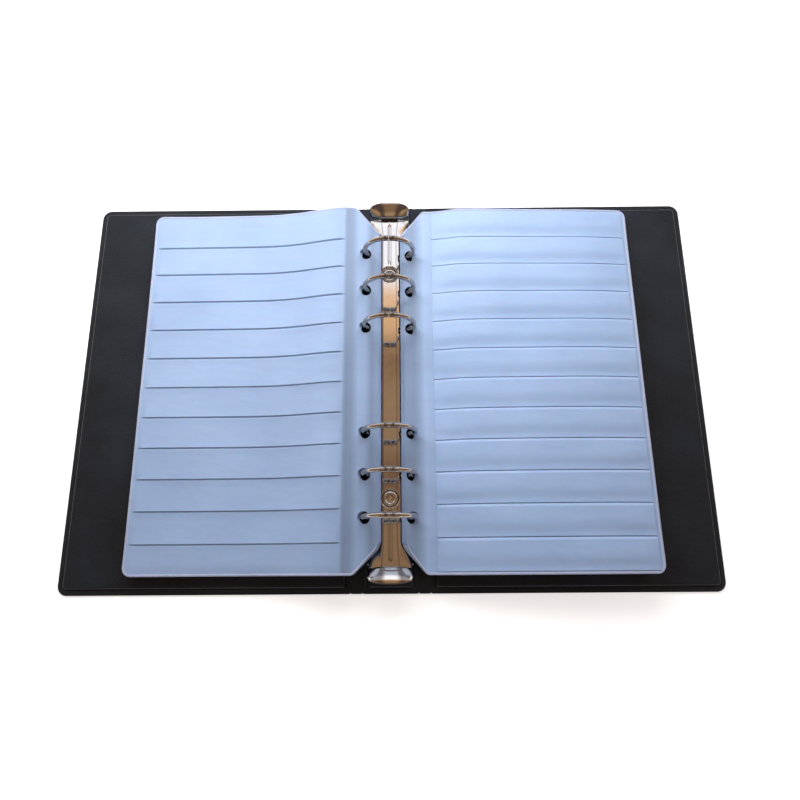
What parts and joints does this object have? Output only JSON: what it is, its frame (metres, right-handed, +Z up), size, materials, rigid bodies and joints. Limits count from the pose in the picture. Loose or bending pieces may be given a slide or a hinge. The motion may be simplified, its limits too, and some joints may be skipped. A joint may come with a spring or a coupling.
{
  "type": "coin album",
  "caption": "Ring-bound coin album lying open, with a stiff padded vinyl cover, a chrome ring mechanism with thumb levers, and clear pages of long welded pockets.",
  "frame": {"origin": "on the resting face, under the middle of the spine and of the open cover", "axes": "+X across the open cover towards the right-hand pages, +Y along the spine towards the top of the pages, +Z up out of the open album"},
  "size_m": [0.298, 0.192, 0.0302],
  "materials": {
    "cover_vinyl": "fine leather grain, satin",
    "lining_vinyl": "fine leather grain, satin",
    "grey_board": "plain grey board",
    "page_sheet": "milky translucent soft vinyl",
    "pocket_film": "clear soft vinyl film",
    "plain_steel": "zinc plated",
    "ring_chrome": "bright nickel plate",
    "eyelet_nickel": "bright nickel plate"
  },
  "bodies": {
    "spine": {"spine_skin": "cover_vinyl", "spine_board": "grey_board", "spine_liner": "lining_vinyl", "left_hinge_web": "cover_vinyl", "right_hinge_web": "cover_vinyl", "ring_housing": "ring_chrome", "lower_eyelet": "eyelet_nickel", "upper_eyelet": "eyelet_nickel", "lower_lever_pin": "ring_chrome", "upper_lever_pin": "ring_chrome"},
    "left_cover": {"left_cover_skin": "cover_vinyl", "left_cover_board": "grey_board", "left_cover_liner": "lining_vinyl"},
    "right_cover": {"right_cover_skin": "cover_vinyl", "right_cover_board": "grey_board", "right_cover_liner": "lining_vinyl"},
    "left_rings": {"left_toggle_plate": "plain_steel", "left_half_ring_1": "ring_chrome", "left_half_ring_2": "ring_chrome", "left_half_ring_3": "ring_chrome", "left_half_ring_4": "ring_chrome", "left_half_ring_5": "ring_chrome", "left_half_ring_6": "ring_chrome"},
    "right_rings": {"right_toggle_plate": "plain_steel", "right_half_ring_1": "ring_chrome", "right_half_ring_2": "ring_chrome", "right_half_ring_3": "ring_chrome", "right_half_ring_4": "ring_chrome", "right_half_ring_5": "ring_chrome", "right_half_ring_6": "ring_chrome"},
    "lower_lever": {"lower_lever": "ring_chrome"},
    "upper_lever": {"upper_lever": "ring_chrome"},
    "left_pages": {"left_page_1_sheet": "page_sheet", "left_page_1_pockets": "pocket_film", "left_page_2_sheet": "page_sheet", "left_page_2_pockets": "pocket_film", "left_page_3_sheet": "page_sheet", "left_page_3_pockets": "pocket_film"},
    "right_pages": {"right_page_1_sheet": "page_sheet", "right_page_1_pockets": "pocket_film", "right_page_2_sheet": "page_sheet", "right_page_2_pockets": "pocket_film", "right_page_3_sheet": "page_sheet", "right_page_3_pockets": "pocket_film", "right_page_4_sheet": "page_sheet", "right_page_4_pockets": "pocket_film", "right_page_5_sheet": "page_sheet", "right_page_5_pockets": "pocket_film"},
    "left_leaf": {"left_page_4_sheet": "page_sheet", "left_page_4_pockets": "pocket_film"},
    "right_leaf": {"right_page_6_sheet": "page_sheet", "right_page_6_pockets": "pocket_film"}
  },
  "joints": [
    {"name": "left_cover_hinge", "type": "hinge", "parent": "spine", "child": "left_cover", "pos_m": [-0.0152, 0, 0.0004], "axis": [0, 1, 0], "range_deg": [0, 90], "deforming": ["left_hinge_web"]},
    {"name": "right_cover_hinge", "type": "hinge", "parent": "spine", "child": "right_cover", "pos_m": [0.0152, 0, 0.0004], "axis": [0, -1, 0], "range_deg": [0, 90], "deforming": ["right_hinge_web"]},
    {"name": "left_pages_swing", "type": "hinge", "parent": "spine", "child": "left_pages", "pos_m": [0, 0, 0.0174], "axis": [0, 1, 0], "range_deg": [0, 92.6]},
    {"name": "right_pages_swing", "type": "hinge", "parent": "spine", "child": "right_pages", "pos_m": [0, 0, 0.0174], "axis": [0, -1, 0], "range_deg": [0, 92.6]},
    {"name": "left_leaf_turn", "type": "hinge", "parent": "left_pages", "child": "left_leaf", "pos_m": [0, 0, 0.0174], "axis": [0, -1, 0], "range_deg": [-185, 0]},
    {"name": "right_leaf_turn", "type": "hinge", "parent": "right_pages", "child": "right_leaf", "pos_m": [0, 0, 0.0174], "axis": [0, 1, 0], "range_deg": [-185, 0]},
    {"name": "rings_open", "type": "hinge", "parent": "spine", "child": "left_rings", "pos_m": [-0.0062, 0, 0.0051], "axis": [0, 1, 0], "range_deg": [-8, 0]},
    {"name": "right_rings_open", "type": "hinge", "parent": "spine", "child": "right_rings", "pos_m": [0.0062, 0, 0.0051], "axis": [0, 1, 0], "range_deg": [0, 8]},
    {"name": "lower_lever_press", "type": "hinge", "parent": "spine", "child": "lower_lever", "pos_m": [0, -0.083, 0.0054], "axis": [1, 0, 0], "range_deg": [0, 16]},
    {"name": "upper_lever_press", "type": "hinge", "parent": "spine", "child": "upper_lever", "pos_m": [0, 0.083, 0.0054], "axis": [1, 0, 0], "range_deg": [-16, 0]}
  ],
  "couplings": [
    {"joint": "left_pages_swing", "follows": "left_cover_hinge", "ratio": 1.0278},
    {"joint": "right_pages_swing", "follows": "right_cover_hinge", "ratio": 1.0278},
    {"joint": "right_rings_open", "follows": "rings_open", "ratio": -1},
    {"joint": "lower_lever_press", "follows": "rings_open", "ratio": -2},
    {"joint": "upper_lever_press", "follows": "rings_open", "ratio": 2}
  ]
}
